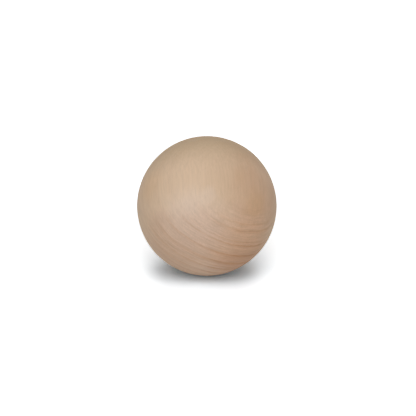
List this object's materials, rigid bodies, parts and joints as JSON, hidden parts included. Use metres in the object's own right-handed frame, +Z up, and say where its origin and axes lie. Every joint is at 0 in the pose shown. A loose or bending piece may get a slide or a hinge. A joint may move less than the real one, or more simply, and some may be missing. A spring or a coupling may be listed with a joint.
{
  "type": "wooden ball",
  "caption": "Solid turned wooden ball with a smooth sanded surface and a pale close grain, for craft, play, display or use as a knob blank.",
  "frame": {"origin": "the centre of the ball", "axes": "+Z up; the ball is the same along every axis, and its grain is seen from -Y, with +X to the right"},
  "size_m": [0.05, 0.05, 0.05],
  "materials": {
    "wood": "bare sanded pale hardwood, satin, with fine growth rings and a close straight fibre"
  },
  "bodies": {
    "root": {"ball": "wood"}
  },
  "joints": []
}
